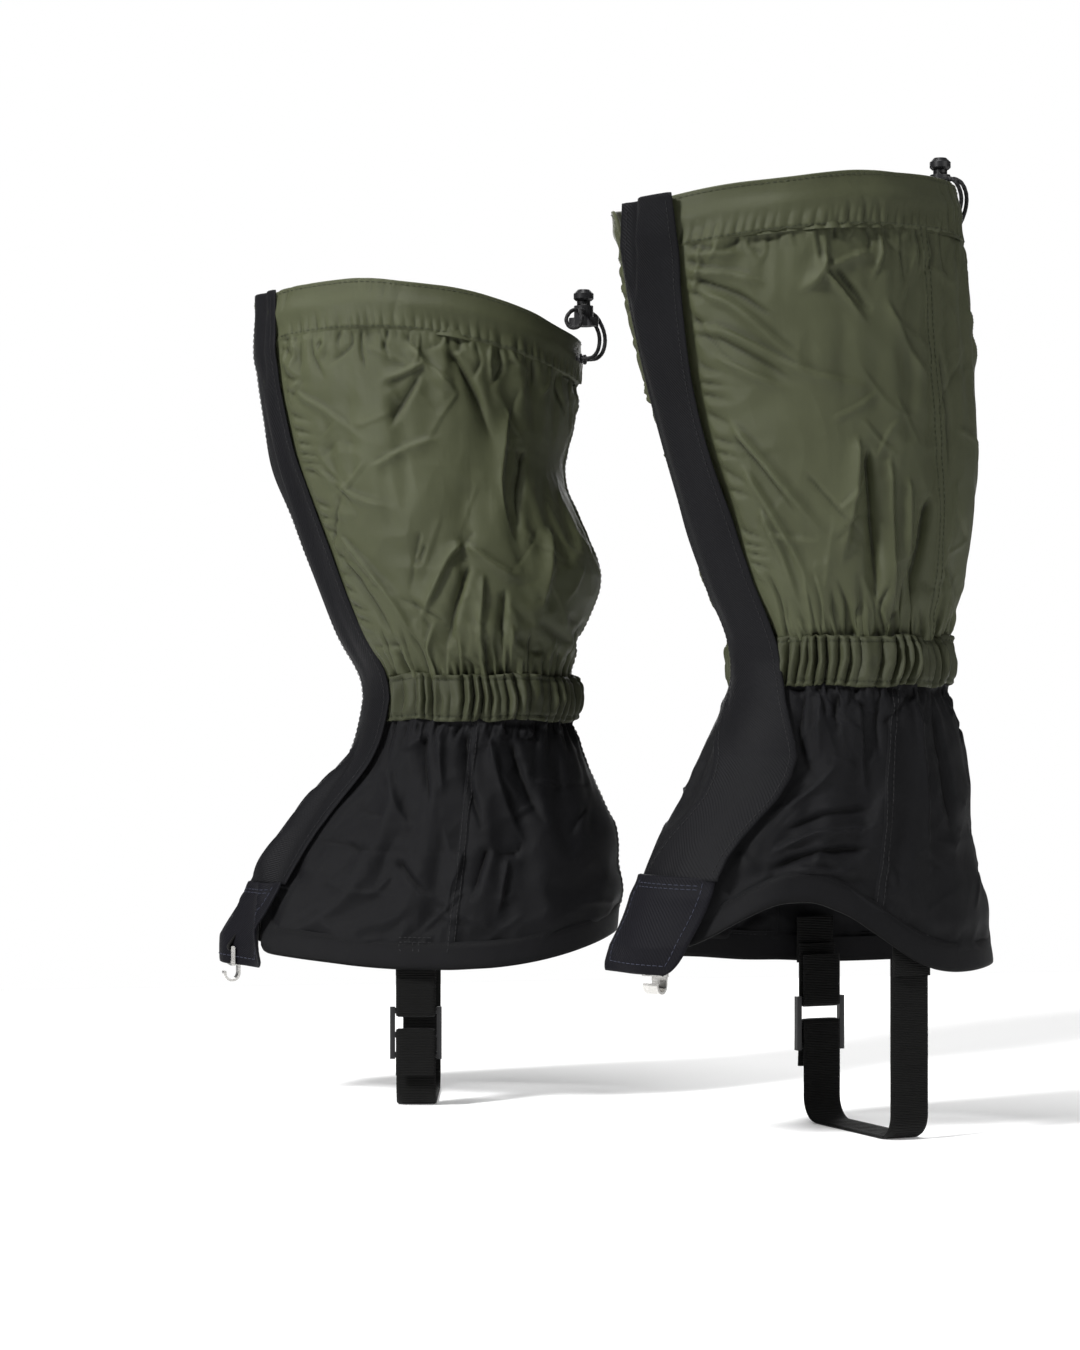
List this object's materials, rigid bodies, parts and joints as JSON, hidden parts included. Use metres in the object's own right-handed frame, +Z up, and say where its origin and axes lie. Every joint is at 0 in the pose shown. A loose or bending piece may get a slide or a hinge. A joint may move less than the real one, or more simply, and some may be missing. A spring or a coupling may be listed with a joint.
{
  "type": "hiking gaiters",
  "caption": "Pair of calf-length gaiters: coated calf shell, elastic ankle band, flared skirt, hook-and-loop front flap, instep strap and drawcord with lock.",
  "frame": {"origin": "the middle of the left gaiter's elastic ankle band, which grips the ankle and holds the gaiter up", "axes": "+Z up the leg, toes towards -Y, +X is the wearer's left; the right gaiter stands at -X, a stride ahead"},
  "size_m": [0.3221, 0.36, 0.4641],
  "materials": {
    "shell_cloth": "olive green coated plain weave with a soft sheen",
    "skirt_cloth": "black coated plain weave",
    "flap_cloth": "dark slate twill",
    "webbing": "black ribbed webbing",
    "cord": "black braided elastic cord",
    "elastic": "grey knitted elastic tape",
    "hook_and_loop": "black hook-and-loop tape",
    "moulded": "black moulded plastic",
    "grommet": "black grommet",
    "steel": "nickel-plated steel"
  },
  "bodies": {
    "left_gaiter": {"left_upper_outer_panel": "shell_cloth", "left_upper_inner_panel": "shell_cloth", "left_top_hem": "shell_cloth", "left_drawcord": "cord", "left_drawcord_loop": "cord", "left_cord_eyelets": "grommet", "left_ankle_sleeve": "shell_cloth", "left_ankle_elastic": "elastic", "left_skirt_front_outer": "skirt_cloth", "left_skirt_front_inner": "skirt_cloth", "left_skirt_rear": "skirt_cloth", "left_skirt_hem": "skirt_cloth", "left_front_loop_strip": "hook_and_loop", "left_lower_flap": "flap_cloth", "left_hook_tape": "webbing", "left_strap_anchor": "webbing"},
    "left_flap": {"left_front_flap": "flap_cloth", "left_flap_hook_strip": "hook_and_loop"},
    "left_tab": {"left_flap_tab": "flap_cloth", "left_tab_patch": "hook_and_loop"},
    "left_cord_lock": {"left_cord_lock_body": "moulded", "left_cord_lock_spring": "steel"},
    "left_lock_button": {"left_cord_lock_button": "moulded"},
    "left_lace_hook": {"left_lace_hook": "steel"},
    "left_strap": {"left_instep_strap": "webbing", "left_strap_loop": "webbing", "left_strap_buckle": "moulded", "left_strap_tail": "webbing"},
    "right_gaiter": {"right_upper_outer_panel": "shell_cloth", "right_upper_inner_panel": "shell_cloth", "right_top_hem": "shell_cloth", "right_drawcord": "cord", "right_drawcord_loop": "cord", "right_cord_eyelets": "grommet", "right_ankle_sleeve": "shell_cloth", "right_ankle_elastic": "elastic", "right_skirt_front_outer": "skirt_cloth", "right_skirt_front_inner": "skirt_cloth", "right_skirt_rear": "skirt_cloth", "right_skirt_hem": "skirt_cloth", "right_front_loop_strip": "hook_and_loop", "right_lower_flap": "flap_cloth", "right_hook_tape": "webbing", "right_strap_anchor": "webbing"},
    "right_flap": {"right_front_flap": "flap_cloth", "right_flap_hook_strip": "hook_and_loop"},
    "right_tab": {"right_flap_tab": "flap_cloth", "right_tab_patch": "hook_and_loop"},
    "right_cord_lock": {"right_cord_lock_body": "moulded", "right_cord_lock_spring": "steel"},
    "right_lock_button": {"right_cord_lock_button": "moulded"},
    "right_lace_hook": {"right_lace_hook": "steel"},
    "right_strap": {"right_instep_strap": "webbing", "right_strap_loop": "webbing", "right_strap_buckle": "moulded", "right_strap_tail": "webbing"}
  },
  "joints": [
    {"name": "left_flap_peel", "type": "hinge", "parent": "left_gaiter", "child": "left_flap", "pos_m": [0.00728, -0.09368, 0.11176], "axis": [-0.1115, 0.2882, -0.951], "range_deg": [0, 100]},
    {"name": "left_tab_lift", "type": "hinge", "parent": "left_gaiter", "child": "left_tab", "pos_m": [0.03921, -0.09997, -0.10658], "axis": [-0.7617, -0.6479, 0], "range_deg": [0, 85]},
    {"name": "left_cord_lock_travel", "type": "slide", "parent": "left_gaiter", "child": "left_cord_lock", "axis": [0, 0, 1], "range_m": [-0.003, 0.01], "deforming": ["left_drawcord_loop"]},
    {"name": "left_lock_button_press", "type": "slide", "parent": "left_cord_lock", "child": "left_lock_button", "axis": [0, 0, -1], "range_m": [0, 0.0025], "stiffness_N_per_m": 400, "springref_m": -0.001, "deforming": ["left_cord_lock_spring"]},
    {"name": "left_lace_hook_swing", "type": "hinge", "parent": "left_gaiter", "child": "left_lace_hook", "pos_m": [0.03193, -0.09746, -0.13507], "axis": [-0.7444, -0.6677, 0], "range_deg": [-45, 28]},
    {"name": "left_strap_swing", "type": "hinge", "parent": "left_gaiter", "child": "left_strap", "pos_m": [-0.00249, 0.01174, -0.143], "axis": [0.9781, 0.2079, 0], "range_deg": [-40, 40]},
    {"name": "right_flap_peel", "type": "hinge", "parent": "right_gaiter", "child": "right_flap", "pos_m": [-0.14679, -0.23413, 0.09279], "axis": [-0.0476, -0.2766, 0.9598], "range_deg": [0, 100]},
    {"name": "right_tab_lift", "type": "hinge", "parent": "right_gaiter", "child": "right_tab", "pos_m": [-0.18809, -0.26267, -0.11587], "axis": [-1, -0.0011, 0], "range_deg": [0, 85]},
    {"name": "right_cord_lock_travel", "type": "slide", "parent": "right_gaiter", "child": "right_cord_lock", "axis": [0, 0, 1], "range_m": [-0.003, 0.01], "deforming": ["right_drawcord_loop"]},
    {"name": "right_lock_button_press", "type": "slide", "parent": "right_cord_lock", "child": "right_lock_button", "axis": [0, 0, -1], "range_m": [0, 0.0025], "stiffness_N_per_m": 400, "springref_m": -0.001, "deforming": ["right_cord_lock_spring"]},
    {"name": "right_lace_hook_swing", "type": "hinge", "parent": "right_gaiter", "child": "right_lace_hook", "pos_m": [-0.19156, -0.26477, -0.1441], "axis": [-0.9996, -0.0275, 0], "range_deg": [-45, 28]},
    {"name": "right_strap_swing", "type": "hinge", "parent": "right_gaiter", "child": "right_strap", "pos_m": [-0.17541, -0.17043, -0.153], "axis": [0.9781, -0.2079, 0], "range_deg": [-40, 40]},
    {"name": "right_gaiter_stride", "type": "slide", "parent": "left_gaiter", "child": "right_gaiter", "axis": [0, -1, 0], "range_m": [-0.2, 0.1]}
  ]
}
